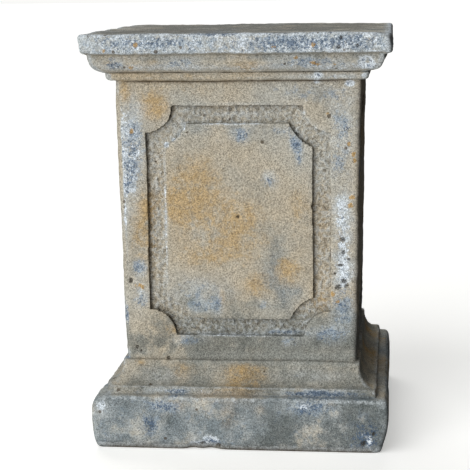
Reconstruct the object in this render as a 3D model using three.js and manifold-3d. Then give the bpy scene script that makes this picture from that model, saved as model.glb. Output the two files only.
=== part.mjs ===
import * as THREE from 'three';
import { mergeVertices } from 'three/addons/utils/BufferGeometryUtils.js';
import Module from 'manifold-3d';

// Garden plinth made as one block of buff stone. From the ground up: a square block with worn, rounded
// edges, a base moulding, a die that narrows a little towards its foot, and a moulded cap. Each face
// of the die has a sunk band with scooped corners around a flat panel.
// Millimetres, +Z up, front towards -Y, origin at the middle of the underside.

// Overall sizes
const TOTAL_HEIGHT = 760;
const CAP_WIDTH = 551;
const DIE_TOP_WIDTH = 443;
const DIE_FOOT_WIDTH = 429;
const BLOCK_WIDTH = 546;

// Base: block, lip, cavetto and fillet; a worn edge has its reach inwards and its reach up or down
const BLOCK_HEIGHT = 101.5;
const BLOCK_FOOT_WEAR = [12, 60];
const BLOCK_TOP_WEAR = [9, 22];
const LIP_WIDTH = 503;
const LIP_HEIGHT = 14;
const LIP_EASE = 3.5;
const CAVETTO_HEIGHT = 35;
const BASE_FILLET_WIDTH = 441;
const BASE_FILLET_HEIGHT = 7.5;
const BASE_FILLET_EASE = 2;

// Cap: neck band, ovolo and fascia
const DIE_TOP = 674;
const NECK_WIDTH = 471;
const NECK_HEIGHT = 15;
const NECK_EASE = 8;
const NECK_DRIP = 1.5;
const QUIRK_WIDTH = 465;
const QUIRK_HEIGHT = 2;
const OVOLO_FOOT_WIDTH = 473;
const OVOLO_TOP_WIDTH = 529;
const OVOLO_HEIGHT = 31;
const OVOLO_FULLNESS = 1.75;
const FASCIA_HEIGHT = 35.5;
const FASCIA_FOOT_EASE = 5;
const FASCIA_TOP_EASE = 6;

// Rounding of the upright corners, seen from above
const BLOCK_CORNER = 9;
const BASE_CORNER = 6;
const DIE_CORNER = 10;
const NECK_CORNER = 7;
const CAP_CORNER = 6;

// Panel: the sunk band around the flat middle, with corners scooped by quarter circles
const PANEL_WIDTH = 333;
const PANEL_HEIGHT = 424;
const PANEL_MIDDLE = 416.5;
const BAND_WIDTH = 31;
const BAND_DEPTH = 9;
const SCOOP_RADIUS = 48.5;
const CUTTER_PROUD = 6;

// Facets
const CORNER_STEPS = 4;
const EASE_STEPS = 3;
const WEAR_STEPS = 6;
const MOULDING_STEPS = 9;
const SCOOP_STEPS = 12;

const STONE_COLOUR = 0xa89b83;
const QUARTER_TURN = Math.PI / 2;

// Heights worked out from the sizes above
const LIP_TOP = BLOCK_HEIGHT + LIP_HEIGHT;
const CAVETTO_TOP = LIP_TOP + CAVETTO_HEIGHT;
const DIE_FOOT = CAVETTO_TOP + BASE_FILLET_HEIGHT;
const NECK_TOP = DIE_TOP + NECK_HEIGHT;
const OVOLO_FOOT = NECK_TOP + QUIRK_HEIGHT;
const OVOLO_TOP = OVOLO_FOOT + OVOLO_HEIGHT;
const FASCIA_FOOT = TOTAL_HEIGHT - FASCIA_HEIGHT;

// One level of the profile: half the width, the height, and the rounding of its upright corners
function level(half, height, corner) {
  return { half, height, corner };
}

// Levels along part of an ellipse, from one angle to another in quarter turns
function sweep(centre, reach, quarters, steps, corner) {
  const levels = [];
  for (let i = 0; i <= steps; i += 1) {
    const angle = THREE.MathUtils.lerp(quarters[0], quarters[1], i / steps) * QUARTER_TURN;
    const half = centre[0] + reach[0] * Math.cos(angle);
    const height = centre[1] + reach[1] * Math.sin(angle);
    levels.push(level(half, height, corner));
  }
  return levels;
}

// Quarter round on the lower or upper outside edge of a course
function easedFoot(width, height, ease, corner) {
  return sweep([width / 2 - ease, height + ease], [ease, ease], [-1, 0], EASE_STEPS, corner);
}

function easedTop(width, height, ease, corner) {
  return sweep([width / 2 - ease, height - ease], [ease, ease], [0, 1], EASE_STEPS, corner);
}

function blockLevels() {
  const foot = [BLOCK_WIDTH / 2 - BLOCK_FOOT_WEAR[0], BLOCK_FOOT_WEAR[1]];
  const top = [BLOCK_WIDTH / 2 - BLOCK_TOP_WEAR[0], BLOCK_HEIGHT - BLOCK_TOP_WEAR[1]];
  return [
    ...sweep(foot, BLOCK_FOOT_WEAR, [-1, 0], WEAR_STEPS, BLOCK_CORNER),
    ...sweep(top, BLOCK_TOP_WEAR, [0, 1], WEAR_STEPS, BLOCK_CORNER),
  ];
}

function baseMouldingLevels() {
  const lipInner = LIP_WIDTH / 2 - LIP_EASE;
  const reach = [lipInner - BASE_FILLET_WIDTH / 2, CAVETTO_HEIGHT];
  const cavetto = sweep([lipInner, CAVETTO_TOP], reach, [3, 2], MOULDING_STEPS, BASE_CORNER);
  return [
    level(LIP_WIDTH / 2, BLOCK_HEIGHT, BASE_CORNER),
    ...easedTop(LIP_WIDTH, LIP_TOP, LIP_EASE, BASE_CORNER).slice(0, -1),
    ...cavetto,
    ...easedTop(BASE_FILLET_WIDTH, DIE_FOOT, BASE_FILLET_EASE, BASE_CORNER),
  ];
}

function dieLevels() {
  return [
    level(DIE_FOOT_WIDTH / 2, DIE_FOOT, DIE_CORNER),
    level(DIE_TOP_WIDTH / 2, DIE_TOP, DIE_CORNER),
  ];
}

function neckLevels() {
  return [
    ...easedFoot(NECK_WIDTH, DIE_TOP + NECK_DRIP, NECK_EASE, NECK_CORNER),
    level(NECK_WIDTH / 2, NECK_TOP, NECK_CORNER),
    level(QUIRK_WIDTH / 2, NECK_TOP + QUIRK_HEIGHT / 2, NECK_CORNER),
  ];
}

// Worn ovolo, flatter than a true ellipse by its fullness
function ovoloLevels() {
  const reach = (OVOLO_TOP_WIDTH - OVOLO_FOOT_WIDTH) / 2;
  const power = 2 / OVOLO_FULLNESS;
  const levels = [];
  for (let i = 0; i <= MOULDING_STEPS; i += 1) {
    const angle = (i / MOULDING_STEPS) * QUARTER_TURN;
    const half = OVOLO_FOOT_WIDTH / 2 + reach * Math.sin(angle) ** power;
    const height = OVOLO_TOP - OVOLO_HEIGHT * Math.max(Math.cos(angle), 0) ** power;
    levels.push(level(half, height, CAP_CORNER));
  }
  return levels;
}

function fasciaLevels() {
  return [
    ...easedFoot(CAP_WIDTH, FASCIA_FOOT, FASCIA_FOOT_EASE, CAP_CORNER),
    ...easedTop(CAP_WIDTH, TOTAL_HEIGHT, FASCIA_TOP_EASE, CAP_CORNER),
  ];
}

// Square outline with rounded corners at one level, counter-clockwise from above
function outlinePoints({ half, height, corner }) {
  const points = [];
  for (let turn = 0; turn < 4; turn += 1) {
    const middle = (turn + 0.5) * QUARTER_TURN;
    const centreX = Math.sign(Math.cos(middle)) * (half - corner);
    const centreY = Math.sign(Math.sin(middle)) * (half - corner);
    for (let i = 0; i <= CORNER_STEPS; i += 1) {
      const angle = (turn + i / CORNER_STEPS) * QUARTER_TURN;
      const x = centreX + corner * Math.cos(angle);
      const y = centreY + corner * Math.sin(angle);
      points.push(x, y, height);
    }
  }
  return points;
}

// Closed skin through all the levels, with a flat underside and a flat top
function loftedSolid(levels) {
  const around = 4 * (CORNER_STEPS + 1);
  const last = (levels.length - 1) * around;
  const positions = levels.flatMap(outlinePoints);
  const undersideCentre = levels.length * around;
  const topCentre = undersideCentre + 1;
  positions.push(0, 0, levels[0].height, 0, 0, levels.at(-1).height);
  const index = [];
  for (let j = 0; j < around; j += 1) {
    const next = (j + 1) % around;
    index.push(undersideCentre, next, j);
    index.push(topCentre, last + j, last + next);
    for (let row = 0; row < last; row += around) {
      index.push(row + j, row + next, row + around + next);
      index.push(row + j, row + around + next, row + around + j);
    }
  }
  const geometry = new THREE.BufferGeometry();
  geometry.setAttribute('position', new THREE.Float32BufferAttribute(positions, 3));
  geometry.setIndex(index);
  return geometry;
}

// Rectangle whose corners are scooped by arcs about the corners of the whole panel; inset 0 gives
// the outer edge of the sunk band and inset BAND_WIDTH the edge of the flat middle
function scoopedOutline(Outline, inset) {
  const outline = new Outline();
  const radius = SCOOP_RADIUS + inset;
  const lean = Math.asin(inset / radius);
  for (let turn = 0; turn < 4; turn += 1) {
    const middle = (turn + 0.5) * QUARTER_TURN;
    const cornerX = (Math.sign(Math.cos(middle)) * PANEL_WIDTH) / 2;
    const cornerY = (Math.sign(Math.sin(middle)) * PANEL_HEIGHT) / 2;
    const start = (turn + 3) * QUARTER_TURN - lean;
    const end = (turn + 2) * QUARTER_TURN + lean;
    outline.absarc(cornerX, cornerY, radius, start, end, true);
  }
  outline.closePath();
  return outline;
}

// Cutter for the sunk band of one face, leaning with the die so that its depth is even
function bandCutter(face) {
  const shape = scoopedOutline(THREE.Shape, 0);
  shape.holes.push(scoopedOutline(THREE.Path, BAND_WIDTH));
  const depth = BAND_DEPTH + CUTTER_PROUD;
  const geometry = new THREE.ExtrudeGeometry(shape, {
    depth,
    bevelEnabled: false,
    curveSegments: SCOOP_STEPS,
  });
  const flare = (DIE_TOP_WIDTH - DIE_FOOT_WIDTH) / 2;
  const rise = (PANEL_MIDDLE - DIE_FOOT) / (DIE_TOP - DIE_FOOT);
  geometry.translate(0, 0, -BAND_DEPTH);
  geometry.rotateX(Math.atan2(flare, DIE_TOP - DIE_FOOT));
  geometry.rotateX(QUARTER_TURN);
  geometry.translate(0, -(DIE_FOOT_WIDTH / 2 + flare * rise), PANEL_MIDDLE);
  geometry.rotateZ(face * QUARTER_TURN);
  return geometry;
}

const wasm = await Module();
wasm.setup();

function toSolid(geometry) {
  geometry.deleteAttribute('normal');
  geometry.deleteAttribute('uv');
  const merged = mergeVertices(geometry);
  const vertProperties = new Float32Array(merged.attributes.position.array);
  const triVerts = new Uint32Array(merged.index.array);
  return new wasm.Manifold(new wasm.Mesh({ numProp: 3, vertProperties, triVerts }));
}

function toGeometry(solid) {
  const { vertProperties, triVerts } = solid.getMesh();
  const geometry = new THREE.BufferGeometry();
  geometry.setAttribute('position', new THREE.BufferAttribute(vertProperties, 3));
  geometry.setIndex(new THREE.BufferAttribute(triVerts, 1));
  geometry.computeVertexNormals();
  return geometry;
}

function plinthGeometry() {
  let solid = toSolid(
    loftedSolid([
      ...blockLevels(),
      ...baseMouldingLevels(),
      ...dieLevels(),
      ...neckLevels(),
      ...ovoloLevels(),
      ...fasciaLevels(),
    ]),
  );
  for (let face = 0; face < 4; face += 1) {
    solid = solid.subtract(toSolid(bandCutter(face)));
  }
  return toGeometry(solid);
}

const stone = new THREE.MeshStandardMaterial({
  color: STONE_COLOUR,
  roughness: 0.95,
  metalness: 0,
});

const plinth = new THREE.Mesh(plinthGeometry(), stone);
plinth.name = 'plinth';

const part = new THREE.Group();
part.add(plinth);

export default part;
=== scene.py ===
"""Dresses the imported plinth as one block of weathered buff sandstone, on a pale studio floor."""

import math

import bpy
import numpy as np
from bpy.props import FloatProperty, FloatVectorProperty, IntProperty, PointerProperty
from bpy.types import NodeSocket, Operator, Panel, PropertyGroup
from mathutils import Matrix, Vector


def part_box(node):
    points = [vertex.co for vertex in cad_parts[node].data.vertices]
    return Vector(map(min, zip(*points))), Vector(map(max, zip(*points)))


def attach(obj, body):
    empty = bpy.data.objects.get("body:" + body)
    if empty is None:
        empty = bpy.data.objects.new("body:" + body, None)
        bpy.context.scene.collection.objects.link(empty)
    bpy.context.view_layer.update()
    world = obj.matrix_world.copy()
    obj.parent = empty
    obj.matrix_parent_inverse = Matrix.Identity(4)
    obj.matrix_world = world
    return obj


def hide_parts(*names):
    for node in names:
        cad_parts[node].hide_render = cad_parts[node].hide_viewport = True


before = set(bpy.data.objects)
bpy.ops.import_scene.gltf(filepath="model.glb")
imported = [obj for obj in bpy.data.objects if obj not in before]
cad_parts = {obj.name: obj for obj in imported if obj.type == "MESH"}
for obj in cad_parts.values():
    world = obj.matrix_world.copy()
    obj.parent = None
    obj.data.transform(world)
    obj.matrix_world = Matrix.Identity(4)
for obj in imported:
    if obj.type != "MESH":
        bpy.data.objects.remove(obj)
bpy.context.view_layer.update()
LOW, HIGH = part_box("plinth")

bl_info = {
    "name": "Weathered Stone Plinth",
    "version": (1, 0, 0),
    "blender": (4, 5, 0),
    "location": "View3D > Sidebar > Plinth",
    "description": "Makes a square moulded garden plinth in weathered sandstone, and its studio",
    "category": "Add Mesh",
}

MM = 0.001

# Base of the section: a worn edge has its reach inwards and its reach up or down
BLOCK_FOOT_WEAR = (12 * MM, 60 * MM)
BLOCK_TOP_WEAR = (9 * MM, 22 * MM)
LIP_HEIGHT = 14 * MM
LIP_EASE = 3.5 * MM
CAVETTO_HEIGHT = 35 * MM
BASE_FILLET_WIDTH = 441 * MM
BASE_FILLET_HEIGHT = 7.5 * MM
BASE_FILLET_EASE = 2 * MM

# Cap of the section
DIE_TOP = 674 * MM
NECK_HEIGHT = 15 * MM
NECK_EASE = 8 * MM
NECK_DRIP = 1.5 * MM
QUIRK_WIDTH = 465 * MM
QUIRK_HEIGHT = 2 * MM
OVOLO_FOOT_WIDTH = 473 * MM
OVOLO_TOP_WIDTH = 529 * MM
OVOLO_HEIGHT = 31 * MM
OVOLO_FULLNESS = 1.75
FASCIA_HEIGHT = 35.5 * MM
FASCIA_FOOT_EASE = 5 * MM
FASCIA_TOP_EASE = 6 * MM

# Rounding of the upright corners, seen from above
BLOCK_CORNER = 9 * MM
BASE_CORNER = 6 * MM
DIE_CORNER = 10 * MM
NECK_CORNER = 7 * MM
CAP_CORNER = 6 * MM

# Mesh steps: columns on the front, right, back and left, round each upright corner, and up the die
SIDE_STEPS = (132, 80, 76, 80)
CORNER_STEPS = 4
DIE_STEPS = 134

# Half the width of the innermost ring on the underside and the top
CENTRE_HALF = 12 * MM

# Points of the section that are closer than this are one
SAME_POINT = 1e-6

# Sides in that order: the way along each as seen from outside it, and the way out of it
FRONT = 0
HIDDEN_SIDES = (1, 2, 3)
ALONG = np.array([(1, 0), (0, 1), (-1, 0), (0, -1)])
OUT = np.array([(0, -1), (1, 0), (0, 1), (-1, 0)])

# Points within this many cells of a carved outline are drawn to it, as near as the gap
SNAP_CELLS = 3
SNAP_GAP = 0.4 * MM
SNAP_POWER = 1.8

# Step over which an outline's slope is measured, and the least slope to divide by
SLOPE_STEP = 0.05 * MM
SLOPE_LEAST = 1e-9

# Depth and reach of the wear on the band's edges
ARRIS_WEAR = 0.8 * MM
ARRIS_REACH = 2.2 * MM

# Reach of chips from any edge, and their share on the upright edges of die and base and on the band's
CHIP_REACH = 5 * MM
DIE_CHIPS = 0.2
BASE_CHIPS = 0.4
PANEL_CHIPS = 0.12

# Painted shade and grime in the band: thickest on the walls that face down and to the right, away from the
# light, where it stands for their shade
GROOVE_REACH = 2.4 * MM
SHADE_LEAN = 200 * MM
SHADE_LEAN_UP = 0.7
SHADE_LEAN_ACROSS = 1.3
SHADE_AND_DIRT_MIDDLE = 0.6
SHADE_AND_DIRT_LEAST = 0.15

# Within this distance of an upright corner the grooves' painted shade and grime are lighter, down to this
# share of them
GROOVE_CORNER_REACH = 14 * MM
GROOVE_CORNER_SHARE = 0.3

# The wear fades out below this height, so that the stone stands flat
EXPOSED_HEIGHT = 6 * MM

# Soot on the flat top: the rise and the edge where it sets in, its share there, and the share of other
# stains that it hides
TOP_FADE = 1.5 * MM
TOP_EDGE = 80 * MM
TOP_EDGE_SOOT = 0.45
TOP_BARE = 0.6

# Stains on the front, in millimetres: across, up, reach across, reach up, amount. They add up to a limit,
# and a negative amount takes the stain away.
STAIN_LIMIT = 1.15
FRONT_STAINS = {
    "grey": (
        (66, 394, 22, 60, 0.25), (43, 467, 26, 30, 0.2), (-92, 285, 50, 35, 0.2),
        (20, 262, 110, 20, 0.4), (0, 190, 230, 24, 0.5), (-90, 190, 110, 26, 0.4),
        # The patch at (0, 216) along the bottom of the band is partly painted shade
        (-120, 132, 100, 20, 0.2), (0, 216, 130, 14, 0.5), (173, 227, 30, 40, 0.5),
        (191, 236, 14, 36, 0.6), (120, 130, 120, 20, 0.3), (-160, 708, 50, 10, 0.2),
        (-129, 57, 10, 16, 0.7), (-6, 36, 20, 22, 0.5),
    ),
    "slate": (
        (113, 55, 60, 40, 1.0), (215, 60, 50, 50, 0.7), (-60, 588, 100, 22, 0.35),
        (60, 570, 70, 40, 0.2), (130, 655, 70, 24, 0.35), (185, 610, 40, 60, 0.3),
        (106, 552, 9, 26, 0.6), (60, 494, 14, 14, 0.35), (72, 375, 18, 34, 0.22),
        (60, 322, 18, 30, 0.2), (60, 300, 70, 60, 0.25), (102, 279, 24, 26, 0.5),
        (-60, 290, 90, 30, 0.25), (-75, 259, 22, 13, 0.9), (-43, 262, 12, 18, 0.7),
        (190, 262, 26, 34, 0.7), (170, 208, 40, 22, 0.4), (80, 211, 34, 4, 0.9),
        (-186, 332, 16, 20, 0.5),
    ),
    "dark": (
        (167, 26, 60, 16, 0.8), (112, 40, 45, 30, 0.7), (212, 60, 50, 40, 0.75),
        (60, 20, 40, 14, 0.6), (-162, 44, 10, 18, 0.7), (-129, 62, 9, 12, 0.6),
        (-75, 259, 18, 10, 0.5), (-43, 262, 10, 14, 0.4), (10, 122, 28, 20, 0.55),
        (-90, 184, 110, 24, 0.3),
    ),
    "ochre": (
        (-203, 654, 9, 17, 0.9), (-152, 628, 22, 20, 1.2), (-77, 484, 44, 48, 0.6),
        (-86, 434, 48, 34, 0.45), (0, 420, 42, 36, 0.6), (-23, 374, 70, 26, 0.3),
        (-118, 457, 20, 30, 0.5), (-59, 350, 60, 18, 0.35), (91, 332, 22, 22, 0.65),
        (30, 301, 25, 22, 0.45), (111, 447, 16, 40, 0.35), (147, 273, 14, 16, 0.5),
        (-175, 401, 22, 62, 0.55), (-166, 447, 14, 20, 0.6), (153, 420, 14, 110, 0.2),
        (185, 397, 8, 9, 0.7), (-68, 661, 110, 14, 0.15), (-90, 682, 140, 8, 0.2),
        (-70, 700, 150, 8, 0.1), (24, 704, 22, 8, 0.6), (8, 128, 34, 28, 0.65),
        (-110, 139, 22, 16, 0.35), (-187, 154, 12, 7, 0.7), (-60, 104, 40, 8, 0.5),
        (0, 107, 40, 8, 0.6), (-34, 278, 6, 14, 0.5), (-128, 212, 16, 12, 0.4),
        (-107, 84, 14, 12, 0.45), (-19, 66, 20, 28, 0.4), (43, 79, 14, 12, 0.4),
        (168, 97, 14, 8, 0.4), (-87, 754, 12, 6, 0.7), (-144, 713, 14, 5, 0.6),
    ),
    "blue": (
        (-192, 565, 26, 75, 0.45), (-193, 530, 16, 34, 0.3), (-203, 484, 12, 24, 0.5),
        (-186, 332, 15, 18, 0.6), (-184, 273, 18, 24, 0.45), (186, 580, 34, 75, 0.28),
        (196, 594, 14, 20, 0.22), (181, 520, 20, 24, 0.22), (190, 380, 24, 90, 0.3),
        (190, 262, 22, 34, 0.45), (103, 562, 10, 16, 0.6), (112, 540, 8, 22, 0.6),
        (57, 497, 16, 16, 0.5), (9, 575, 14, 14, 0.5), (84, 585, 18, 8, 0.4),
        (-75, 259, 20, 12, 0.36), (-43, 264, 10, 20, 0.4), (43, 264, 16, 10, 0.4),
        (165, 209, 40, 20, 0.5), (80, 211, 34, 4, 0.8), (-95, 196, 30, 12, 0.5),
        (93, 194, 24, 10, 0.4), (150, 108, 50, 6, 0.8), (-116, 106, 16, 5, 0.6),
        (130, 86, 26, 12, 0.6), (-134, 84, 26, 10, 0.5), (-162, 48, 10, 20, 0.7),
        (-52, 12, 24, 10, 0.5), (232, 34, 24, 28, 0.6), (-20, 585, 130, 22, 0.15),
        (120, 652, 90, 24, 0.3), (130, 132, 100, 18, 0.35), (-100, 708, 30, 8, 0.4),
        (-215, 706, 14, 10, 0.6), (-85, 290, 60, 30, 0.28), (215, 744, 50, 14, 0.3),
        (105, 741, 75, 12, 0.5), (-150, 744, 90, 12, 0.3), (-35, 761, 40, 4, 0.9),
        (135, 708, 50, 10, 0.45), (175, 682, 70, 7, 0.3),
    ),
    "pale": (
        (187, 452, 20, 34, 0.55), (190, 404, 20, 34, 0.5), (190, 352, 21, 32, 0.5),
        (190, 312, 21, 28, 0.55), (-216, 420, 9, 60, 0.95), (-214, 342, 8, 50, 0.5),
        (-194, 590, 28, 70, 0.42), (-192, 510, 26, 60, 0.35), (-216, 560, 10, 90, 0.4),
        (-196, 450, 24, 60, 0.2), (-186, 285, 26, 40, 0.35), (182, 600, 34, 80, 0.33),
        # The strips at (-134, 420), (-10, 205) and (-10, 597) are painted highlights, partly white crust,
        # on the inner panel's left arris and on the band's upward-facing walls
        (-134, 420, 5, 165, 0.55), (-10, 205, 112, 3, 0.65), (-10, 597, 105, 3, 0.6),
        (-128, 559, 6, 5, 0.7), (-116, 567, 6, 5, 0.7), (-106, 577, 5, 6, 0.7),
        (-97, 589, 5, 6, 0.7), (120, 616, 4, 7, 0.5), (127, 601, 5, 7, 0.5),
        (139, 589, 7, 5, 0.5), (154, 582, 7, 4, 0.5), (-151, 430, 8, 130, 0.3),
        # The strip at (0, 632) is a painted highlight along the band's upper outer arris
        (0, 613, 110, 9, 0.35), (-110, 108, 110, 6, 0.45), (0, 632, 130, 4, 0.35),
        (185, 220, 28, 22, 0.25), (-150, 130, 60, 18, 0.35), (120, 132, 90, 18, 0.2),
        (232, 707, 11, 8, 2.6), (232, 707, 7.5, 5.5, -2.6), (150, 682, 90, 7, 0.4),
        (146, 684, 6, 6, 0.8), (202, 668, 9, 6, 0.9), (143, 672, 6, 4, 0.8),
        (228, 684, 5, 4, 0.8), (-52, 18, 15, 11, 1.3), (-80, 9, 10, 7, 1.0),
        (241, 24, 6, 16, 0.95), (228, 38, 6, 8, 0.5), (-255, 88, 16, 26, 0.5),
        (120, 90, 28, 10, 0.5),
    ),
    "dot": (
        (-172, 741, 5, 5, 1.2), (140, 739, 5, 5, 1.2), (175, 763, 6, 5, 1.2),
        (72, 736, 5, 4, 1.1), (236, 747, 4, 3, 1.0), (-229, 731, 4, 4, 1.1),
        (-184, 700, 6, 5, 1.1), (149, 703, 5, 4, 1.0), (139, 707, 6, 4, 1.1),
        (109, 716, 5, 4, 1.0), (177, 706, 5, 4, 1.1), (-194, 584, 6, 6, 1.1),
        (163, 614, 5, 5, 1.0), (201, 560, 5, 5, 1.1), (208, 542, 5, 5, 1.2),
        (210, 530, 5, 4, 1.2), (205, 464, 7, 6, 1.2), (203, 449, 7, 6, 1.1),
        (173, 369, 4, 4, 1.0), (172, 285, 7, 6, 1.1), (180, 271, 5, 5, 1.0),
        (-212, 390, 4, 5, 1.0), (-190, 299, 9, 6, 1.0), (-178, 294, 7, 6, 1.0),
    ),
    "pit": (
        (189, 751, 3, 4, 1.2), (184, 735, 4, 3.5, 1.2), (216, 737, 3, 3, 1.0),
        (-1, 427, 3, 3, 1.3), (-13, 623, 3.5, 3, 1.0), (189, 387, 6, 4, 1.0),
        (190, 363, 4, 4, 1.1), (200, 350, 3, 3, 1.1), (185, 339, 6, 3, 1.1),
        (175, 323, 3, 3, 1.1), (191, 310, 5, 4, 1.2), (196, 301, 4, 4, 1.2),
        (181, 298, 6, 5, 1.1), (-202, 307, 4, 5, 1.2), (-152, 380, 3, 3, 0.8),
        (-135, 160, 3.5, 3, 1.2), (-193, 180, 3.5, 3, 1.2), (-186, 172, 3, 3, 1.0),
        (-66, 12, 5, 4, 1.1), (-38, 8, 5, 4, 1.1), (229, 20, 5, 6, 1.1),
        (248, 40, 4, 5, 1.0),
    ),
}

# Films that lie along whole courses, in millimetres: lowest, highest, fade, amount
COURSE_FILMS = {
    "grey": (
        (92, 172, 14, 0.6), (130, 262, 55, 1.3), (215, 680, 20, 0.25),
        # (708, 728) is partly painted shadow under the fascia, on the top of the ovolo, and partly grey
        # film
        (708, 728, 6, 0.55), (-50, 104, 6, 0.35),
    ),
    "slate": ((-50, 104, 6, 0.9), (690, 724, 6, 0.1), (722, 770, 4, 0.4)),
    # (-50, 14) is partly painted contact shade at the foot of the block, and partly dark film
    "dark": ((-50, 14, 10, 1.1), (-50, 104, 6, 0.4), (100, 118, 4, 0.3), (160, 225, 25, 0.45)),
    "ochre": ((158, 724, 20, 0.27), (104, 158, 10, 0.25), (-50, 104, 6, 0.2)),
    "blue": ((-50, 116, 8, 0.38), (150, 690, 20, 0.17), (688, 724, 4, 0.27), (722, 770, 4, 0.48)),
    # (692, 708) is partly a painted highlight on the lower ovolo, which faces down, and partly lichen
    "pale": ((722, 770, 4, 0.46), (692, 708, 4, 0.4), (688, 724, 4, 0.2), (-50, 95, 8, 0.12)),
    "dot": ((680, 770, 10, 0.05),),
    "pit": (),
}

# Plainer stains on the sides that the photograph doesn't show: how many on each, their amount and reach.
# Each lies between a low and a high corner, and its reach and amount vary by these shares.
HIDDEN_SEED = 11
HIDDEN_LOW = (-230, 20)
HIDDEN_HIGH = (230, 740)
HIDDEN_REACH_LEAST = 0.3
HIDDEN_AMOUNTS = (0.6, 1.1)
HIDDEN_STAINS = {
    "grey": (6, 0.55, 45),
    "slate": (3, 0.5, 45),
    "dark": (3, 0.5, 30),
    "ochre": (10, 0.8, 50),
    "blue": (9, 0.65, 35),
    "pale": (8, 0.6, 30),
    "dot": (12, 1.0, 9),
    "pit": (6, 1.0, 8),
}

# Places worn away or left full, listed one by one, in millimetres: middle, reach and push
SHAPED_PLACES = (
    ((-273, -40, 100), (26, 230, 16), (7, 0, -4)),
    ((273, -273, 14), (26, 26, 26), (-5, 5, 0)),
    ((-52, -268, 6), (16, 20, 12), (0, 6, 3)),
    ((-84, -268, 4), (12, 20, 8), (0, 4, 3)),
    ((-251, -251, 112), (24, 24, 14), (7, 7, -4)),
    ((-275, -275, 722), (18, 18, 9), (5, 5, 0)),
    ((275, -275, 722), (18, 18, 9), (-3, 4, 0)),
    ((272, 0, 721), (14, 320, 8), (5, 0, -3)),
    ((250, 0, 699), (16, 320, 8), (4, 0, -1)),
    ((232, -258, 707), (11, 16, 8), (0, 4, 0)),
    ((276, 0, 0), (30, 230, 36), (-9, 0, 0)),
    ((275, -275, 762), (18, 18, 16), (-5, 5, -4)),
    ((275, 275, 762), (30, 30, 16), (-6, -6, -5)),
)


def linear(hex_colour):
    """Linear red, green, blue and alpha of an sRGB hex colour."""
    channels = [int(hex_colour[i : i + 2], 16) / 255 for i in (1, 3, 5)]
    bright = [c / 12.92 if c <= 0.04045 else ((c + 0.055) / 1.055) ** 2.4 for c in channels]
    return (*bright, 1.0)


def length(name, description, default):
    """A size that the user can change, in metres."""
    return FloatProperty(name=name, description=description, default=default, min=0, unit="LENGTH")


def tilt(name, description, degrees):
    """An angle that the user can change, from degrees."""
    default = math.radians(degrees)
    return FloatProperty(name=name, description=description, default=default, subtype="ANGLE")


def colour(name, description, hex_colour):
    """A colour that the user can change, from its sRGB hex value."""
    kind = {"size": 4, "min": 0, "max": 1, "subtype": "COLOR"}
    return FloatVectorProperty(name=name, description=description, default=linear(hex_colour), **kind)


class PlinthSizes(PropertyGroup):
    """Sizes of the stone."""

    height: length("Height", "From the underside to the top", HIGH.z - LOW.z)
    cap_width: length("Cap width", "Across the fascia", HIGH.x - LOW.x)
    neck_width: length("Neck width", "Across the band under the ovolo", 471 * MM)
    die_top_width: length("Die top width", "Across the die under the cap", 443 * MM)
    die_foot_width: length("Die foot width", "Across the die on the base", 429 * MM)
    lip_width: length("Lip width", "Across the lip under the cavetto", 503 * MM)
    block_width: length("Block width", "Across the block on the ground", 546 * MM)
    block_height: length("Block height", "Height of the block on the ground", 101.5 * MM)
    panel_width: length("Panel width", "Across the outside of the sunk band", 333 * MM)
    panel_height: length("Panel height", "Height of the outside of the sunk band", 424 * MM)
    panel_middle: length("Panel middle", "Height of the middle of the panel", 416.5 * MM)
    band_width: length("Band width", "Across the sunk band", 31 * MM)
    band_depth: length("Band depth", "Depth of the sunk band", 9 * MM)
    scoop_radius: length("Scoop radius", "Radius of the scooped corners", 48.5 * MM)


class PlinthRelief(PropertyGroup):
    """How deep the weather and the tools went."""

    hollow_depth: length("Hollow depth", "Broad unevenness of the rubbed faces", 1.8 * MM)
    pock_depth: length("Pock depth", "Weathered pocks", 1.0 * MM)
    peck_depth: length("Peck depth", "Tool marks on the ground of the sunk band", 3.5 * MM)
    chip_depth: length("Chip depth", "Chips along the edges", 4 * MM)
    grain_depth: length("Grain depth", "Sandy grain", 0.35 * MM)
    pit_depth: length("Pit depth", "Single deep pits", 3 * MM)
    hole_depth: length("Hole depth", "Air holes at the places marked by hand", 2.5 * MM)
    seed: IntProperty(name="Seed", description="Start of the random draws", default=7)


class PlinthColours(PropertyGroup):
    """Colours of the stone and of what grows on it."""

    buff: colour("Buff", "Clean stone", "#b4a892")
    drab: colour("Drab", "Stone gone grey", "#acaba2")
    # Grey also paints shade under the fascia and along the bottom of the band
    grey: colour("Grey", "Damp grey film", "#7f827d")
    slate: colour("Slate", "Blue-grey film on the block and the fascia", "#74838c")
    ochre: colour("Ochre", "Iron stain and ochre lichen", "#b29157")
    # Haze also paints highlights on the worn edges and on the high ground of the peck marks
    haze: colour("Haze", "Thin growth of lichen", "#bcc3c5")
    blue: colour("Blue", "Blue-grey lichen", "#8596a7")
    navy: colour("Navy", "Dark specks in the blue lichen", "#465a72")
    # Pale also paints highlights on some edges and on the band's upward-facing walls
    pale: colour("Pale", "White crust lichen", "#d6dee4")
    # This colour also paints shade: in the grooves, on the band's walls, in the deep peck marks and in the
    # dark spots
    soil_and_shade: colour("Soil", "Dirt in the grooves and pits", "#4a3d2b")
    # Hole paints the shade inside the air holes, with some grime
    hole: colour("Hole", "Dark inside the air holes", "#2e2a24")
    # Dark also paints contact shade at the foot of the block
    dark: colour("Dark", "Black-green film near the ground", "#565a56")
    rust: colour("Rust", "Spots of orange lichen", "#b08a46")
    soot: colour("Soot", "Dark film on the top", "#727471")


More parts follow.
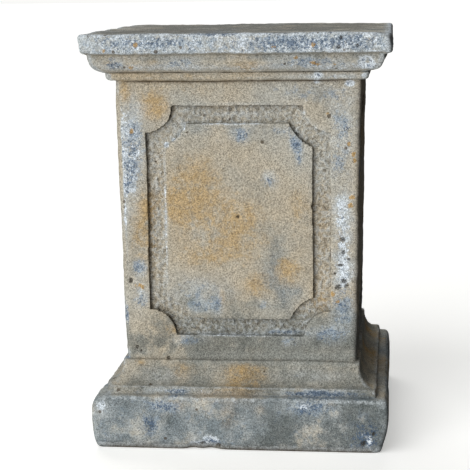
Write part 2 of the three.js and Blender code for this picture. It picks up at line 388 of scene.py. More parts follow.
class PlinthStage(PropertyGroup):
    """The studio."""

    floor: colour("Floor", "Pale floor", "#fafaf8")
    key_strength: FloatProperty(
        name="Key",
        description="Soft light from the front, a little to the left",
        default=1.7,
        min=0,
    )
    ambient: FloatProperty(name="Ambient", description="Light from all round", default=0.065, min=0)
    yaw: tilt("Yaw", "How far the camera stands to the right of the front", 6.53)
    pitch: tilt("Pitch", "How far the camera looks down", 10.2)
    roll: tilt("Roll", "How far the camera leans", -0.78)


def add_node(tree, kind, inputs=None, **settings):
    """Adds a node with its settings; an input is a value or the socket that it is linked from."""
    node = tree.nodes.new(kind)
    for name, value in settings.items():
        setattr(node, name, value)
    for key, value in (inputs or {}).items():
        if isinstance(value, NodeSocket):
            tree.links.new(value, node.inputs[key])
        else:
            node.inputs[key].default_value = value
    return node


def calculate(tree, operation, *values):
    """The result of a sum on numbers or sockets."""
    return add_node(tree, "ShaderNodeMath", dict(enumerate(values)), operation=operation).outputs[0]


def remap(tree, value, start, end, low, high, kind="LINEAR"):
    """A value moved from the range of start to end into the range of low to high, and kept inside it."""
    inputs = {"Value": value, "From Min": start, "From Max": end, "To Min": low, "To Max": high}
    return add_node(tree, "ShaderNodeMapRange", inputs, interpolation_type=kind).outputs[0]


def blend(tree, share, under, over, kind="MIX"):
    """The colour of one layer over another."""
    inputs = {0: share, 6: under, 7: over}
    return add_node(tree, "ShaderNodeMix", inputs, data_type="RGBA", blend_type=kind).outputs[2]


def straight(start, end, steps):
    """Points of the section along a straight line; a point is half the width and the height."""
    return np.linspace(start, end, steps + 1)


def sweep(centre, reach, quarters, steps):
    """Points of the section along part of an ellipse, between two angles in quarter turns."""
    angle = np.linspace(*quarters, steps + 1) * math.pi / 2
    half = centre[0] + reach[0] * np.cos(angle)
    height = centre[1] + reach[1] * np.sin(angle)
    return np.stack([half, height], axis=1)


def eased_foot(half, height, ease, steps):
    """Rounded lower edge of a course, from its underside to its side."""
    return sweep((half - ease, height + ease), (ease, ease), (-1, 0), steps)


def eased_top(half, height, ease, steps):
    """Rounded upper edge of a course, from its side to its top."""
    return sweep((half - ease, height - ease), (ease, ease), (0, 1), steps)


def ovolo(foot, top, steps):
    """Worn ovolo, flatter than a true ellipse by its fullness."""
    angle = np.linspace(0, math.pi / 2, steps + 1)
    power = 2 / OVOLO_FULLNESS
    half = foot[0] + (top[0] - foot[0]) * np.sin(angle) ** power
    height = top[1] - (top[1] - foot[1]) * np.clip(np.cos(angle), 0, 1) ** power
    return np.stack([half, height], axis=1)


def die_foot(sizes):
    """Height of the foot of the die."""
    return sizes.block_height + LIP_HEIGHT + CAVETTO_HEIGHT + BASE_FILLET_HEIGHT


def base_courses(sizes):
    """Underside, block, lip, cavetto and fillet, each with the rounding of its upright corners."""
    block = sizes.block_width / 2
    top = sizes.block_height
    lip = sizes.lip_width / 2
    lip_top = top + LIP_HEIGHT
    fillet = BASE_FILLET_WIDTH / 2
    cavetto_top = lip_top + CAVETTO_HEIGHT
    fillet_top = die_foot(sizes)
    foot_centre = (block - BLOCK_FOOT_WEAR[0], BLOCK_FOOT_WEAR[1])
    top_centre = (block - BLOCK_TOP_WEAR[0], top - BLOCK_TOP_WEAR[1])
    cavetto_centre = (lip - LIP_EASE, cavetto_top)
    cavetto_reach = (lip - LIP_EASE - fillet, CAVETTO_HEIGHT)
    return [
        (straight((CENTRE_HALF, 0), (foot_centre[0], 0), 4), BLOCK_CORNER),
        (sweep(foot_centre, BLOCK_FOOT_WEAR, (-1, 0), 14), BLOCK_CORNER),
        (straight((block, foot_centre[1]), (block, top_centre[1]), 5), BLOCK_CORNER),
        (sweep(top_centre, BLOCK_TOP_WEAR, (0, 1), 8), BLOCK_CORNER),
        (straight((top_centre[0], top), (lip, top), 3), BASE_CORNER),
        (straight((lip, top), (lip, lip_top - LIP_EASE), 3), BASE_CORNER),
        (eased_top(lip, lip_top, LIP_EASE, 3), BASE_CORNER),
        (sweep(cavetto_centre, cavetto_reach, (3, 2), 14), BASE_CORNER),
        (straight((fillet, cavetto_top), (fillet, fillet_top - BASE_FILLET_EASE), 2), BASE_CORNER),
        (eased_top(fillet, fillet_top, BASE_FILLET_EASE, 2), BASE_CORNER),
    ]


def cap_courses(sizes):
    """Neck, quirk, ovolo, fascia and top, each with the rounding of its upright corners."""
    neck = sizes.neck_width / 2
    neck_foot = DIE_TOP + NECK_DRIP
    neck_top = DIE_TOP + NECK_HEIGHT
    quirk = (QUIRK_WIDTH / 2, neck_top + QUIRK_HEIGHT / 2)
    ovolo_foot = (OVOLO_FOOT_WIDTH / 2, neck_top + QUIRK_HEIGHT)
    ovolo_top = (OVOLO_TOP_WIDTH / 2, ovolo_foot[1] + OVOLO_HEIGHT)
    cap = sizes.cap_width / 2
    fascia_foot = sizes.height - FASCIA_HEIGHT
    fascia_sides = (fascia_foot + FASCIA_FOOT_EASE, sizes.height - FASCIA_TOP_EASE)
    top_edge = (cap - FASCIA_TOP_EASE, sizes.height)
    return [
        (eased_foot(neck, neck_foot, NECK_EASE, 4), NECK_CORNER),
        (straight((neck, neck_foot + NECK_EASE), (neck, neck_top), 2), NECK_CORNER),
        (straight((neck, neck_top), quirk, 1), NECK_CORNER),
        (straight(quirk, ovolo_foot, 1), CAP_CORNER),
        (ovolo(ovolo_foot, ovolo_top, 12), CAP_CORNER),
        (straight(ovolo_top, (cap - FASCIA_FOOT_EASE, fascia_foot), 2), CAP_CORNER),
        (eased_foot(cap, fascia_foot, FASCIA_FOOT_EASE, 3), CAP_CORNER),
        (straight((cap, fascia_sides[0]), (cap, fascia_sides[1]), 8), CAP_CORNER),
        (eased_top(cap, sizes.height, FASCIA_TOP_EASE, 4), CAP_CORNER),
        (straight(top_edge, (CENTRE_HALF, sizes.height), 22), CAP_CORNER),
    ]


def die_course(sizes):
    """The die, which narrows a little towards its foot."""
    start = (sizes.die_foot_width / 2, die_foot(sizes))
    end = (sizes.die_top_width / 2, DIE_TOP)
    return [(straight(start, end, DIE_STEPS), DIE_CORNER)]


def stacked(courses):
    """Half width, height and corner of every level, without the points that two courses share."""
    levels = []
    for points, corner in courses:
        for half, height in points:
            if not levels or math.dist(levels[-1][:2], (half, height)) > SAME_POINT:
                levels.append((half, height, min(corner, half / 2)))
    return np.array(levels)


class Skin:
    """The stone's surface as a grid of levels by columns, with its masks."""

    def __init__(self, sizes):
        self.sizes = sizes
        base = stacked(base_courses(sizes))
        die = stacked(die_course(sizes))
        cap = stacked(cap_courses(sizes))
        self.section = np.concatenate([base, die, cap])
        self.die_rows = slice(len(base), len(base) + len(die))
        self.lay_columns()
        self.masks = {
            "exposed": np.clip(self.height / EXPOSED_HEIGHT, 0, 1),
            "band": np.zeros_like(self.height),
            "edge": self.near_section_points(self.edge_points()),
            "groove": self.near_section_points(self.groove_shade_and_dirt_points()),
            "top": self.sooty_top(),
        }
        self.masks["groove"] *= np.clip(self.arris_gap / GROOVE_CORNER_REACH, GROOVE_CORNER_SHARE, 1)
        self.mark_arrises()

    def lay_columns(self):
        """Places every point along its side, out from the middle and up."""
        side = []
        place = []
        turn = []
        for index, count in enumerate(SIDE_STEPS):
            flat = np.linspace(-1, 1, count + 1)
            bend = np.arange(1, CORNER_STEPS) / CORNER_STEPS
            side.append(np.full(flat.size + bend.size, index))
            place.append(np.concatenate([flat, np.ones_like(bend)]))
            turn.append(np.concatenate([np.zeros_like(flat), bend]))
        self.side = np.concatenate(side)
        self.turn = np.concatenate(turn)
        place = np.concatenate(place)
        half, height, corner = (column[:, None] for column in self.section.T)
        angle = self.turn * math.pi / 2
        self.along = (half - corner) * place + corner * np.sin(angle)
        self.out = half - corner + corner * np.cos(angle)
        self.height = np.broadcast_to(height, self.along.shape).copy()
        self.arris_gap = np.abs((half - corner) * (1 - np.abs(place)))

    def edge_points(self):
        """Outer edges of the section, which chip: half the width, height, reach and amount."""
        sizes = self.sizes
        cap = sizes.cap_width / 2
        lip = sizes.lip_width / 2
        block = sizes.block_width / 2
        return (
            (block - BLOCK_FOOT_WEAR[0] / 2, 6 * MM, CHIP_REACH, 1.0),
            (block - BLOCK_TOP_WEAR[0] / 2, sizes.block_height - 4 * MM, CHIP_REACH, 0.7),
            (lip, sizes.block_height + LIP_HEIGHT, CHIP_REACH, 0.6),
            (sizes.neck_width / 2, DIE_TOP + NECK_DRIP + NECK_EASE / 2, CHIP_REACH, 0.4),
            (cap, sizes.height, CHIP_REACH, 0.7),
            (cap, sizes.height - FASCIA_HEIGHT, CHIP_REACH, 0.7),
        )

    def pale_points(self):
        """Edges of the section whitened by lichen and by painted highlight, in the same order."""
        sizes = self.sizes
        cap = sizes.cap_width / 2
        return (
            (cap - FASCIA_TOP_EASE / 2, sizes.height, 8 * MM, 0.75),
            (cap, sizes.height - FASCIA_HEIGHT + 2 * MM, 3 * MM, 0.65),
            (sizes.lip_width / 2 - LIP_EASE, sizes.block_height + LIP_HEIGHT, 5 * MM, 0.35),
        )

    def groove_shade_and_dirt_points(self):
        """Inner corners of the section, darkened with grime and painted shade, in the same order."""
        sizes = self.sizes
        return (
            # At the foot of the block: painted contact shade along the ground, with grime
            (sizes.block_width / 2 - BLOCK_FOOT_WEAR[0], 0, 12 * MM, 1.2),
            (sizes.lip_width / 2, sizes.block_height, 3.5 * MM, 0.15),
            (sizes.die_foot_width / 2, die_foot(sizes), 3.5 * MM, 0.35),
            # Under the neck: painted shadow on the top of the die, with grime
            (sizes.die_top_width / 2, DIE_TOP, 3 * MM, 1.5),
            (QUIRK_WIDTH / 2, DIE_TOP + NECK_HEIGHT + QUIRK_HEIGHT / 2, 3.5 * MM, 0.7),
            # Under the fascia: painted shadow on the top of the ovolo, with grime
            (OVOLO_TOP_WIDTH / 2, DIE_TOP + NECK_HEIGHT + QUIRK_HEIGHT + OVOLO_HEIGHT, 9 * MM, 0.3),
        )

    def near_section_points(self, points):
        """How near each level is to any of these points of the section, by their reach and amount."""
        near = np.zeros(len(self.section))
        for half, height, reach, amount in points:
            gap = np.hypot(self.section[:, 0] - half, self.section[:, 1] - height)
            near = np.maximum(near, amount * np.exp(-((gap / reach) ** 2)))
        return np.broadcast_to(near[:, None], self.height.shape).copy()

    def sooty_top(self):
        """Soot on the flat top, thinner towards the edge, where rain runs off."""
        level = np.clip((self.height - self.sizes.height + TOP_FADE) / TOP_FADE, 0, 1) ** 2
        inwards = (self.sizes.cap_width / 2 - self.section[:, :1]) / TOP_EDGE
        return level * (TOP_EDGE_SOOT + (1 - TOP_EDGE_SOOT) * np.clip(inwards, 0, 1))

    def mark_arrises(self):
        """Marks the upright corners as edges that chip."""
        near = np.exp(-((self.arris_gap / CHIP_REACH) ** 2))
        near[self.die_rows] *= DIE_CHIPS
        near[: self.die_rows.start] *= BASE_CHIPS
        near[self.height > self.sizes.height - TOP_FADE] = 0
        self.masks["edge"] = np.maximum(self.masks["edge"], near)

    def inside(self, across, up, inset):
        """How far a point is inside the scooped outline; inset 0 is the outside of the band."""
        sizes = self.sizes
        from_side = sizes.panel_width / 2 - np.abs(across)
        from_end = sizes.panel_height / 2 - np.abs(up)
        from_scoop = np.hypot(from_side, from_end) - sizes.scoop_radius - inset
        return np.minimum(np.minimum(from_side, from_end) - inset, from_scoop)

    def snap(self, across, up, inset, reach):
        """Draws the points near the scooped outline close to it, each staying on its own side."""
        gap = self.inside(across, up, inset)
        step = SLOPE_STEP
        slope_across = self.inside(across + step, up, inset) - self.inside(across - step, up, inset)
        slope_up = self.inside(across, up + step, inset) - self.inside(across, up - step, inset)
        slope = np.maximum(np.hypot(slope_across, slope_up), SLOPE_LEAST)
        share = np.clip(np.abs(gap) / reach, 0, 1)
        drawn = SNAP_GAP + (reach - SNAP_GAP) * share**SNAP_POWER
        drawn = np.where(gap >= 0, drawn, -drawn)
        move = np.where(np.abs(gap) < reach, drawn - gap, 0)
        return across + move * slope_across / slope, up + move * slope_up / slope

    def carve_panels(self):
        """Sinks the band with scooped corners into all four faces of the die."""
        sizes = self.sizes
        rows = self.die_rows
        section = self.section[rows]
        row_step = (section[-1, 1] - section[0, 1]) / DIE_STEPS
        for index, count in enumerate(SIDE_STEPS):
            columns = np.flatnonzero((self.side == index) & (self.turn == 0))[1:-1]
            face = np.ix_(range(rows.start, rows.stop), columns)
            reach = SNAP_CELLS * max(row_step, sizes.die_top_width / count)
            across = self.along[face]
            up = self.height[face] - sizes.panel_middle
            for inset in (0, sizes.band_width):
                across, up = self.snap(across, up, inset, reach)
            outer = self.inside(across, up, 0)
            inner = self.inside(across, up, sizes.band_width)
            sunk = (outer > 0) & (inner < 0)
            edge_gap = np.minimum(np.abs(outer), np.abs(inner))
            worn = ARRIS_WEAR * np.exp(-((edge_gap / ARRIS_REACH) ** 2))
            height = up + sizes.panel_middle
            face_out = np.interp(height, section[:, 1], section[:, 0])
            self.along[face] = across
            self.height[face] = height
            self.out[face] = face_out - np.where(sunk, sizes.band_depth, worn)
            self.masks["band"][face] = sunk
            chip = np.where(sunk, 0, np.exp(-((edge_gap / CHIP_REACH) ** 2)))
            self.masks["edge"][face] = np.maximum(self.masks["edge"][face], PANEL_CHIPS * chip)
            # Painted shade with grime along the band's edges, darkest on the walls that face away from the
            # light
            shaded = SHADE_LEAN_UP * up - SHADE_LEAN_ACROSS * across
            lean = np.where(outer < -inner, 1, -1) * shaded / SHADE_LEAN
            shade_and_dirt = np.clip(SHADE_AND_DIRT_MIDDLE + lean, SHADE_AND_DIRT_LEAST, 1) * np.exp(-edge_gap / GROOVE_REACH)
            self.masks["groove"][face] = np.where(sunk, shade_and_dirt, self.masks["groove"][face])

    def course_films(self, films):
        """The strongest of some films along the courses."""
        mask = np.zeros_like(self.height)
        for low, high, fade, amount in films:
            rise = np.clip((self.height / MM - low) / fade, 0, 1)
            fall = np.clip((high - self.height / MM) / fade, 0, 1)
            mask = np.maximum(mask, amount * rise * fall)
        return mask

    def stain(self):
        """Lays the stains and films, with some painted shade and highlights among them, as soft masks,
        which the material breaks up.
        """
        draw = np.random.default_rng(HIDDEN_SEED)
        for name, films in COURSE_FILMS.items():
            mask = self.course_films(films)
            places = [(FRONT, *place) for place in FRONT_STAINS[name]]
            count, most, spread = HIDDEN_STAINS[name]
            for side in HIDDEN_SIDES:
                for _ in range(count):
                    across, up = draw.uniform(HIDDEN_LOW, HIDDEN_HIGH)
                    reach = draw.uniform(HIDDEN_REACH_LEAST * spread, spread, 2)
                    places.append((side, across, up, *reach, most * draw.uniform(*HIDDEN_AMOUNTS)))
            for side, across, up, reach_across, reach_up, amount in places:
                sideways = (self.along / MM - across) / reach_across
                upwards = (self.height / MM - up) / reach_up
                spot = amount * np.exp(-(sideways**2) - upwards**2)
                mask = np.where(self.side == side, mask + spot, mask)
            mask *= 1 - TOP_BARE * self.masks["top"]
            if name == "pale":
                mask = np.maximum(mask, self.near_section_points(self.pale_points()))
            self.masks[name] = np.minimum(mask, STAIN_LIMIT)

    def points(self):
        """The grid as points in metres, with the listed places pushed in or out."""
        flat = self.along[..., None] * ALONG[self.side] + self.out[..., None] * OUT[self.side]
        points = np.concatenate([flat, self.height[..., None]], axis=2)
        for middle, reach, push in SHAPED_PLACES:
            gap = (points / MM - middle) / reach
            near = np.exp(-np.sum(gap**2, axis=2))
            points += near[..., None] * np.array(push) * MM
        points[..., 2] = np.maximum(points[..., 2], 0)
        return points

    def mesh(self, name):
        """The closed mesh, with a point in the middle of the underside and of the top."""
        points = self.points()
        levels, columns = self.height.shape
        index = np.arange(levels * columns).reshape(levels, columns)
        after = np.roll(index, -1, axis=1)
        quads = np.stack([index[:-1], after[:-1], after[1:], index[1:]], axis=2).reshape(-1, 4)
        underside = levels * columns
        top = underside + 1
        fans = [(underside, b, a) for a, b in zip(index[0], after[0])]
        fans += [(top, a, b) for a, b in zip(index[-1], after[-1])]
        middles = [(0, 0, 0), (0, 0, self.sizes.height)]
        mesh = bpy.data.meshes.new(name)
        mesh.from_pydata([*points.reshape(-1, 3).tolist(), *middles], [], [*quads.tolist(), *fans])
        for mask_name, mask in self.masks.items():
            values = np.concatenate([mask.ravel(), [0, mask[-1].mean()]])
            layer = mesh.attributes.new(mask_name, "FLOAT", "POINT")
            layer.data.foreach_set("value", values.astype(np.float32))
        return mesh


PECK_SIZE = 7 * MM
PECK_DETAIL = 3

# Relief that the weather and the tools leave: depth, size of its pattern, detail, start and end, and mask
RELIEFS = (
    ("hollow_depth", 75 * MM, 2, 0.3, 0.7, None),
    ("pock_depth", 13 * MM, 4, 0.45, 0.75, None),
    ("peck_depth", PECK_SIZE, PECK_DETAIL, 0.35, 0.65, "band"),
    ("chip_depth", 22 * MM, 3, 0.5, 0.68, "edge"),
)

# Share of the points that are pits, and the depth taken off the relief so that it lies about the section
PIT_SHARE = 0.0025
RELIEF_MIDDLE = 1.2 * MM


def mask_field(tree, name):
    """One of the stone's masks, in geometry nodes."""
    return add_node(tree, "GeometryNodeInputNamedAttribute", {"Name": name}, data_type="FLOAT").outputs[0]


def weathering_tree(relief):
    """Geometry nodes that wear a stone: hollows, pocks, peck marks, chips, grain and pits."""
    tree = bpy.data.node_groups.new("stone_weathering", "GeometryNodeTree")
    sockets = tree.interface
    sockets.new_socket("Geometry", in_out="OUTPUT", socket_type="NodeSocketGeometry")
    sockets.new_socket("Geometry", in_out="INPUT", socket_type="NodeSocketGeometry")
    sockets.new_socket("Material", in_out="INPUT", socket_type="NodeSocketMaterial")
    for name in relief.bl_rna.properties.keys():
        if name.endswith("_depth"):
            sockets.new_socket(name, in_out="INPUT", socket_type="NodeSocketFloat")
    sockets.new_socket("seed", in_out="INPUT", socket_type="NodeSocketInt")
    given = add_node(tree, "NodeGroupInput").outputs
    seed = given["seed"]
    position = add_node(tree, "GeometryNodeInputPosition").outputs[0]
    normal = add_node(tree, "GeometryNodeInputNormal").outputs[0]
    shifted = add_node(tree, "ShaderNodeVectorMath", {0: position, 1: seed}, operation="ADD")
    depths = []
    for name, size, detail, start, end, mask in RELIEFS:
        pattern = {"Vector": shifted.outputs[0], "Scale": 1 / size, "Detail": detail}
        noise = add_node(tree, "ShaderNodeTexNoise", pattern).outputs[0]
        worn = remap(tree, noise, start, end, 0.0, given[name], "SMOOTHSTEP")
        if mask:
            worn = calculate(tree, "MULTIPLY", worn, mask_field(tree, mask))
        depths.append(worn)
    sand = {"Seed": seed, 2: 0.0, 3: given["grain_depth"]}
    grain = add_node(tree, "FunctionNodeRandomValue", sand, data_type="FLOAT")
    depths.append(grain.outputs[1])
    rare = {"Seed": seed, "Probability": PIT_SHARE}
    pitted = add_node(tree, "FunctionNodeRandomValue", rare, data_type="BOOLEAN")
    depths.append(calculate(tree, "MULTIPLY", pitted.outputs[3], given["pit_depth"]))
    depths.append(calculate(tree, "MULTIPLY", mask_field(tree, "pit"), given["hole_depth"]))
    total = -RELIEF_MIDDLE
    for depth in depths:
        total = calculate(tree, "ADD", total, depth)
    total = calculate(tree, "MULTIPLY", total, mask_field(tree, "exposed"))
    inward = calculate(tree, "MULTIPLY", total, -1.0)
    offset = add_node(tree, "ShaderNodeVectorMath", {0: normal, "Scale": inward}, operation="SCALE")
    push = {"Geometry": given["Geometry"], "Offset": offset.outputs[0]}
    moved = add_node(tree, "GeometryNodeSetPosition", push)
    real = add_node(tree, "GeometryNodeRealizeInstances", {"Geometry": moved.outputs[0]})
    coat = {"Geometry": real.outputs[0], "Material": given["Material"]}
    coated = add_node(tree, "GeometryNodeSetMaterial", coat)
    add_node(tree, "NodeGroupOutput", {"Geometry": coated.outputs[0]})
    return tree


# Noise of the stone's finish: size, detail and roughness. Grain is drawn coarser than sand, to show.
FIELDS = {
    "cloud": (120 * MM, 4, 0.5),
    "drift": (70 * MM, 5, 0.7),
    "mottle": (34 * MM, 5, 0.75),
    "fleck": (12 * MM, 4, 0.75),
    "speckle": (4.2 * MM, 2, 0.7),
    "chalk": (6 * MM, 3, 0.7),
    "crust": (18 * MM, 5, 0.72),
    "grain": (1.8 * MM, 1, 0.5),
}

# Part of a noise's range that is spread from none to full
FIELD_START = 0.3
FIELD_END = 0.7

# Films from the stone outwards: mask, colour, field that breaks it up, start and end of cover, strength
FILMS = (
    ("grey", "grey", "drift", 0.1, 1.0, 0.85),
    ("slate", "slate", "drift", 0.1, 1.0, 0.8),
    ("ochre", "ochre", "mottle", 0.05, 1.3, 0.55),
    ("ochre", "ochre", "fleck", 0.35, 1.1, 0.45),
    ("blue", "haze", "mottle", 0.1, 0.9, 0.6),
    ("pale", "haze", "mottle", 0.05, 0.8, 0.7),
    ("blue", "blue", "fleck", 0.45, 0.75, 0.55),
    ("dark", "dark", "drift", 0.1, 1.1, 0.75),
    ("pale", "pale", "crust", 0.55, 0.75, 0.85),
    ("pale", "pale", "chalk", 0.5, 0.75, 0.7),
    ("blue", "navy", "speckle", 0.68, 1.0, 0.75),
    ("pale", "navy", "speckle", 0.88, 1.15, 0.7),
    # The edge film pales the worn edges, and is partly a painted highlight on the arrises
    ("edge", "haze", "fleck", 0.25, 0.9, 0.65),
    ("top", "soot", "drift", 0.1, 1.0, 0.8),
    ("dot", "rust", "fleck", 0.5, 0.9, 0.75),
    # The pit film is painted shade inside the air holes, with some grime
    ("pit", "hole", "grain", 0.35, 0.6, 0.9),
)

# A field is raised by this before it breaks up a mask
FIELD_RISE = 2.0

# Peck marks of the band hold grime and painted shade where they are deep, and lichen and painted highlight
# where they are high: start, end, strength
PECK_FILMS = (
    ("soil_and_shade", 0.54, 0.68, 0.45),
    ("haze", 0.52, 0.38, 0.4),
)

# Least and most of the painted shade and grime in the grooves, and of the light on the sand grains
GROOVE_SHADE_AND_DIRT = (0.35, 0.85)
SAND_SHADES = (0.48, 1.52)

# Dark spots, each in its own cell: size of a cell, radius and soft edge in cells, share of cells that bare
# stone leaves free, how much of that share the white crust takes away, and cover
SPOT_SIZE = 15 * MM
SPOT_RADIUS = 0.3
SPOT_EDGE = 0.05
SPOT_FREE = 0.997
SPOT_GAIN = 0.5
SPOT_COVER = 0.75

# Bumps of the peck marks and the sand
PECK_BUMP = {"Strength": 0.8, "Distance": 8 * MM}
GRAIN_BUMP = {"Strength": 0.45, "Distance": 0.8 * MM}


def mask_value(tree, name):
    """One of the stone's masks, in a material."""
    return add_node(tree, "ShaderNodeAttribute", attribute_name=name).outputs["Fac"]


def noise_fields(tree, place):
    """The noises of the finish, each spread to run from none to full."""
    fields = {}
    for index, (name, (size, detail, rough)) in enumerate(FIELDS.items()):
        pattern = {"W": 1.0 + index, "Scale": 1 / size, "Detail": detail, "Roughness": rough}
        inputs = {"Vector": place, **pattern}
        noise = add_node(tree, "ShaderNodeTexNoise", inputs, noise_dimensions="4D").outputs[0]
        fields[name] = remap(tree, noise, FIELD_START, FIELD_END, 0.0, 1.0)
    return fields


def dark_spots(tree, place):
    """Cover of the scattered dark spots, which are round and a few millimetres across, and stand for tiny
    pits with their painted shade and grime.
    """
    cells = add_node(tree, "ShaderNodeTexVoronoi", {"Vector": place, "Scale": 1 / SPOT_SIZE}).outputs
    chance = add_node(tree, "ShaderNodeSeparateColor", {0: cells["Color"]}).outputs[0]
    bare = calculate(tree, "MULTIPLY_ADD", mask_value(tree, "pale"), -SPOT_GAIN, SPOT_FREE)
    radius = remap(tree, chance, bare, 1.0, 0.0, SPOT_RADIUS)
    near = calculate(tree, "SUBTRACT", radius, cells["Distance"])
    return remap(tree, near, 0.0, SPOT_EDGE, 0.0, SPOT_COVER)


def stone_material(colours, seed):
    """Buff sandstone, sawn and rubbed, then left outdoors: matt, sandy to the eye, clouded buff and
    grey, with ochre bloom, blue-grey and white lichen, grime and painted shade in the grooves, dark pits,
    and painted highlights on some edges."""
    material = bpy.data.materials.new("weathered_sandstone")
    material.use_nodes = True
    tree = material.node_tree
    tree.nodes.clear()
    place = add_node(tree, "ShaderNodeTexCoord").outputs["Object"]
    fields = noise_fields(tree, place)
    stone = blend(tree, fields["cloud"], colours.buff, colours.drab)
    for mask, film, field, start, end, strength in FILMS:
        broken = calculate(tree, "MULTIPLY", fields[field], FIELD_RISE)
        heap = calculate(tree, "MULTIPLY", mask_value(tree, mask), broken)
        cover = remap(tree, heap, start, end, 0.0, strength, "SMOOTHSTEP")
        stone = blend(tree, cover, stone, getattr(colours, film))
    # The same noise as the weathering's peck marks, so that colour and relief agree
    shift = {0: place, 1: (float(seed),) * 3}
    shifted = add_node(tree, "ShaderNodeVectorMath", shift, operation="ADD").outputs[0]
    pattern = {"Vector": shifted, "Scale": 1 / PECK_SIZE, "Detail": PECK_DETAIL}
    pecks = add_node(tree, "ShaderNodeTexNoise", pattern).outputs[0]
    band = mask_value(tree, "band")
    for film, start, end, strength in PECK_FILMS:
        hit = remap(tree, pecks, start, end, 0.0, strength)
        stone = blend(tree, calculate(tree, "MULTIPLY", band, hit), stone, getattr(colours, film))
    # Painted shade and grime in the grooves, and the dark spots
    shade_and_dirt = remap(tree, fields["mottle"], 0.0, 1.0, *GROOVE_SHADE_AND_DIRT)
    shaded_and_soiled = calculate(tree, "MULTIPLY", mask_value(tree, "groove"), shade_and_dirt)
    shaded_and_soiled = calculate(tree, "MAXIMUM", shaded_and_soiled, dark_spots(tree, place))
    stone = blend(tree, shaded_and_soiled, stone, colours.soil_and_shade)
    sandy = remap(tree, fields["grain"], 0.0, 1.0, *SAND_SHADES)
    stone = blend(tree, 1.0, stone, sandy, "MULTIPLY")
    struck = calculate(tree, "MULTIPLY", band, pecks)
    pecked = add_node(tree, "ShaderNodeBump", {"Height": struck, **PECK_BUMP}, invert=True).outputs[0]
    sanded = {"Height": fields["grain"], "Normal": pecked, **GRAIN_BUMP}
    bump = add_node(tree, "ShaderNodeBump", sanded).outputs[0]
    finish = {"Base Color": stone, "Roughness": 0.93, "Specular IOR Level": 0.15, "Normal": bump}
    shader = add_node(tree, "ShaderNodeBsdfPrincipled", finish)
    add_node(tree, "ShaderNodeOutputMaterial", {"Surface": shader.outputs[0]})
    return material


def weathered(mesh, material, relief):
    """A plain mesh of the stone after its weathering."""
    rough = bpy.data.objects.new("rough_stone", mesh)
    bpy.context.scene.collection.objects.link(rough)
    tree = weathering_tree(relief)
    modifier = rough.modifiers.new("weathering", "NODES")
    modifier.node_group = tree
    for socket in tree.interface.items_tree:
        if socket.in_out == "INPUT" and socket.name == "Material":
            modifier[socket.identifier] = material
        elif socket.in_out == "INPUT" and socket.name != "Geometry":
            modifier[socket.identifier] = getattr(relief, socket.name)
    graph = bpy.context.evaluated_depsgraph_get()
    worn = bpy.data.meshes.new_from_object(rough.evaluated_get(graph))
    rough.modifiers.remove(modifier)
    bpy.data.objects.remove(rough)
    return worn


# Edges sharper than this stay crisp
SHARP_ANGLE = math.radians(55)


class PLINTH_OT_stone(Operator):
    """Make the weathered stone plinth"""

    bl_idname = "plinth.stone"
    bl_label = "Stone plinth"

    def execute(self, context):
        scene = context.scene
        skin = Skin(scene.plinth_sizes)
        skin.carve_panels()
        skin.stain()
        material = stone_material(scene.plinth_colours, scene.plinth_relief.seed)
        mesh = weathered(skin.mesh("plinth_block"), material, scene.plinth_relief)
        mesh.name = "plinth_stone"
        mesh.shade_smooth()
        mesh.set_sharp_from_angle(angle=SHARP_ANGLE)
        stone = bpy.data.objects.new("plinth_stone", mesh)
        scene.collection.objects.link(stone)
        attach(stone, "root")
        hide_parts("plinth")
        return {"FINISHED"}


# Half the width of the floor, in metres
FLOOR_HALF = 60.0

# Camera fitted to the photograph: place and far end in metres, lens and sensor in millimetres
CAMERA_PLACE = Vector((0.2799, -2.7215, 0.8472))
CAMERA_END = 500.0
LENS = 107.7
SENSOR = 36.0

# How wide each sun is, and where the key and the others shine from, with the strength of the others
SUN_SOFTNESS = math.radians(46)
KEY_FROM = (-0.36, -1.0, 0.1)
SUNS = {
    "sky": ((-0.65, -0.75, 1.1), 1.2),
    "bounce": ((-0.5, -1.0, -0.9), 1.15),
    "back": ((-0.3, 1.0, 0.9), 1.2),
}


def floor_material(stage):
    """Matt painted studio floor: even and pale, lit enough from itself to keep its shadow faint."""
    material = bpy.data.materials.new("painted_studio_floor")
    material.use_nodes = True
    paint = {"Base Color": stage.floor, "Roughness": 0.9, "Specular IOR Level": 0.0}
    glow = {"Emission Color": stage.floor, "Emission Strength": 0.45}
    shader = material.node_tree.nodes["Principled BSDF"]
    for name, value in {**paint, **glow}.items():
        shader.inputs[name].default_value = value
    material.cycles.emission_sampling = "NONE"
    return material


def add_sun(name, source, strength):
    """A soft distant light that shines from the given direction."""
    light = bpy.data.lights.new(name, "SUN")
    light.energy = strength
    light.angle = SUN_SOFTNESS
    sun = bpy.data.objects.new(name, light)
    sun.rotation_euler = Vector(source).to_track_quat("Z", "Y").to_euler()
    bpy.context.scene.collection.objects.link(sun)


def add_camera(stage):
    """The camera at the photograph's place."""
    forward = Vector(
        (
            -math.sin(stage.yaw) * math.cos(stage.pitch),
            math.cos(stage.yaw) * math.cos(stage.pitch),
            -math.sin(stage.pitch),
        )
    )
    level = forward.cross(Vector((0, 0, 1))).normalized()
    upright = level.cross(forward)
    right = math.cos(stage.roll) * level + math.sin(stage.roll) * upright
    up = math.cos(stage.roll) * upright - math.sin(stage.roll) * level
    lens = bpy.data.cameras.new("photo_camera")
    lens.sensor_width = SENSOR
    lens.lens = LENS
    lens.clip_end = CAMERA_END
    camera = bpy.data.objects.new("photo_camera", lens)
    turn = Matrix((right, up, -forward)).transposed().to_4x4()
    camera.matrix_world = Matrix.Translation(CAMERA_PLACE) @ turn
    bpy.context.scene.collection.objects.link(camera)
    bpy.context.scene.camera = camera


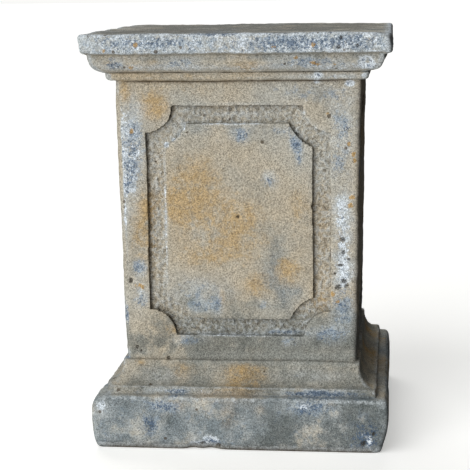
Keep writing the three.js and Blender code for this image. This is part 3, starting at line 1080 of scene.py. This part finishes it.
def add_surround(stage):
    """Pale surround for the eye, and a dimmer even light for the stone."""
    world = bpy.data.worlds.new("studio")
    bpy.context.scene.world = world
    world.use_nodes = True
    tree = world.node_tree
    tree.nodes.clear()
    seen = add_node(tree, "ShaderNodeLightPath").outputs["Is Camera Ray"]
    strength = remap(tree, seen, 0.0, 1.0, stage.ambient, 1.0)
    light = add_node(tree, "ShaderNodeBackground", {"Color": stage.floor, "Strength": strength})
    add_node(tree, "ShaderNodeOutputWorld", {"Surface": light.outputs[0]})


class PLINTH_OT_stage(Operator):
    """Make the pale floor, the soft light and the camera"""

    bl_idname = "plinth.stage"
    bl_label = "Studio"

    def execute(self, context):
        scene = context.scene
        stage = scene.plinth_stage
        corners = [(x, y, 0) for x, y in ((-1, -1), (1, -1), (1, 1), (-1, 1))]
        mesh = bpy.data.meshes.new("studio_floor")
        mesh.from_pydata([Vector(corner) * FLOOR_HALF for corner in corners], [], [(0, 1, 2, 3)])
        mesh.materials.append(floor_material(stage))
        floor = bpy.data.objects.new("studio_floor", mesh)
        floor.visible_diffuse = False
        floor.visible_glossy = False
        floor.visible_shadow = False
        scene.collection.objects.link(floor)
        add_sun("key", KEY_FROM, stage.key_strength)
        for name, (source, strength) in SUNS.items():
            add_sun(name, source, strength)
        add_surround(stage)
        add_camera(stage)
        scene.view_settings.view_transform = "Standard"
        return {"FINISHED"}


class PLINTH_PT_panel(Panel):
    """Lists the plinth's sizes, colours and makers"""

    bl_idname = "PLINTH_PT_panel"
    bl_label = "Plinth"
    bl_space_type = "VIEW_3D"
    bl_region_type = "UI"
    bl_category = "Plinth"

    def draw(self, context):
        layout = self.layout
        for operator in (PLINTH_OT_stone, PLINTH_OT_stage):
            layout.operator(operator.bl_idname)
        for name in GROUPS:
            group = getattr(context.scene, name)
            for prop in group.bl_rna.properties:
                if prop.identifier not in {"rna_type", "name"}:
                    layout.prop(group, prop.identifier)


GROUPS = {
    "plinth_sizes": PlinthSizes,
    "plinth_relief": PlinthRelief,
    "plinth_colours": PlinthColours,
    "plinth_stage": PlinthStage,
}
CLASSES = (*GROUPS.values(), PLINTH_OT_stone, PLINTH_OT_stage, PLINTH_PT_panel)


def register():
    for cls in CLASSES:
        bpy.utils.register_class(cls)
    for name, group in GROUPS.items():
        setattr(bpy.types.Scene, name, PointerProperty(type=group))


def unregister():
    for name in GROUPS:
        delattr(bpy.types.Scene, name)
    for cls in reversed(CLASSES):
        bpy.utils.unregister_class(cls)


def main():
    register()
    bpy.ops.plinth.stone()
    bpy.ops.plinth.stage()
    bpy.context.view_layer.update()


if __name__ == "__main__":
    main()
